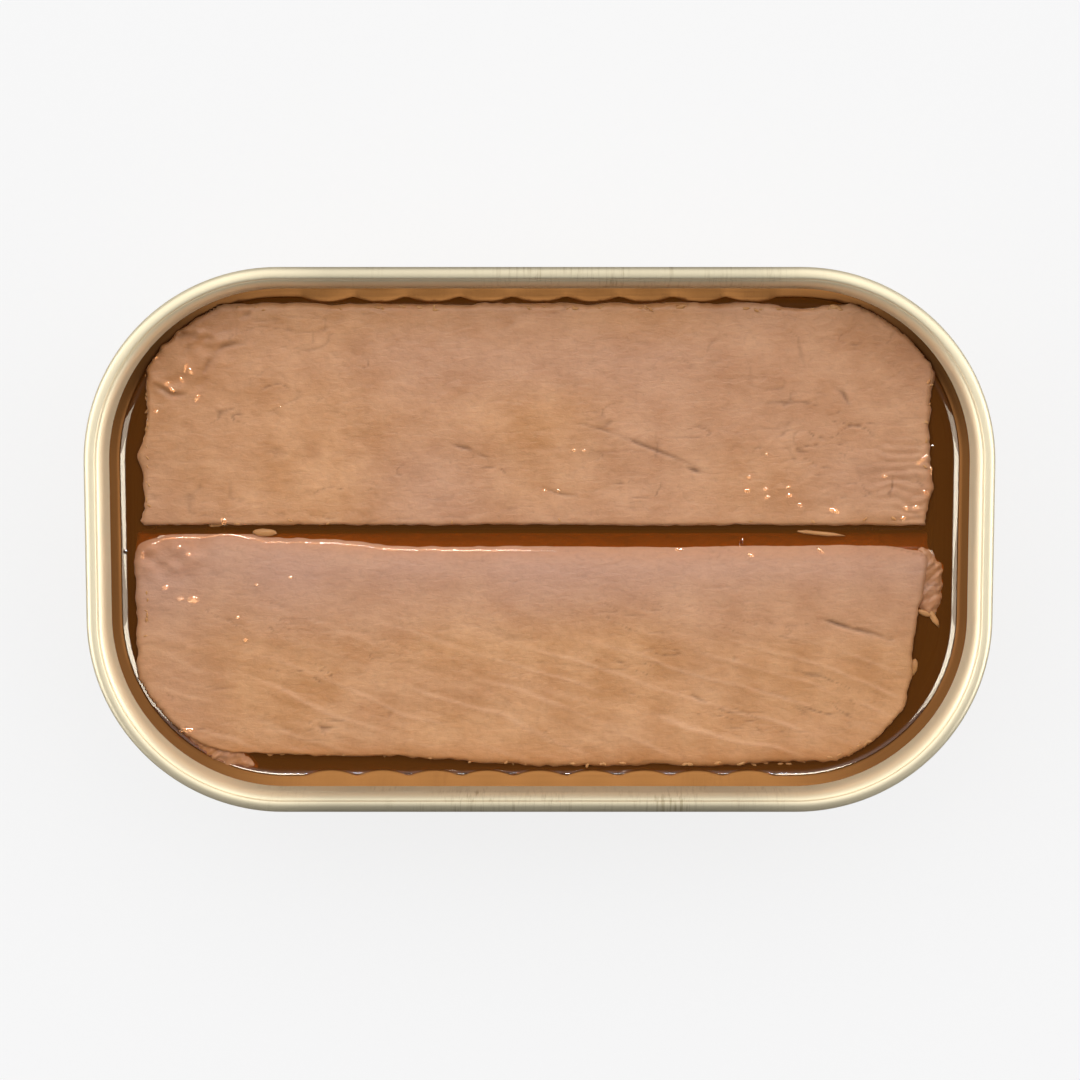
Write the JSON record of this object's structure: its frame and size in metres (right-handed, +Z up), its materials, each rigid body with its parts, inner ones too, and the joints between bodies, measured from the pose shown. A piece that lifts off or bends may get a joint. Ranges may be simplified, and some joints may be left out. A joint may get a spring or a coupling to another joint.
{
  "type": "opened tuna can",
  "caption": "Opened gold-lacquered rectangular can with rounded corners, holding solid tuna fillets lying side by side in oil.",
  "frame": {"origin": "middle of the can's plan, on the table under the base", "axes": "+X along the can's long side, +Y across it from the lower fillet to the upper one, +Z up out of the open top"},
  "size_m": [0.107, 0.0644, 0.0245],
  "materials": {
    "can_gold": "gold lacquer on drawn tinplate, satin",
    "rim_gold": "pale gold lacquer on tinplate, fine scratches across the seam",
    "oil": "clear yellow-brown oil, wet gloss",
    "tuna": "cooked tuna, moist, fine fibres",
    "tuna_flake": "cooked tuna soaked in oil"
  },
  "bodies": {
    "root": {"can_body": "can_gold", "lid_ring": "rim_gold", "oil": "oil", "fillet_upper": "tuna", "fillet_lower": "tuna", "flake_corner": "tuna_flake", "flap_right": "tuna_flake"}
  },
  "joints": []
}
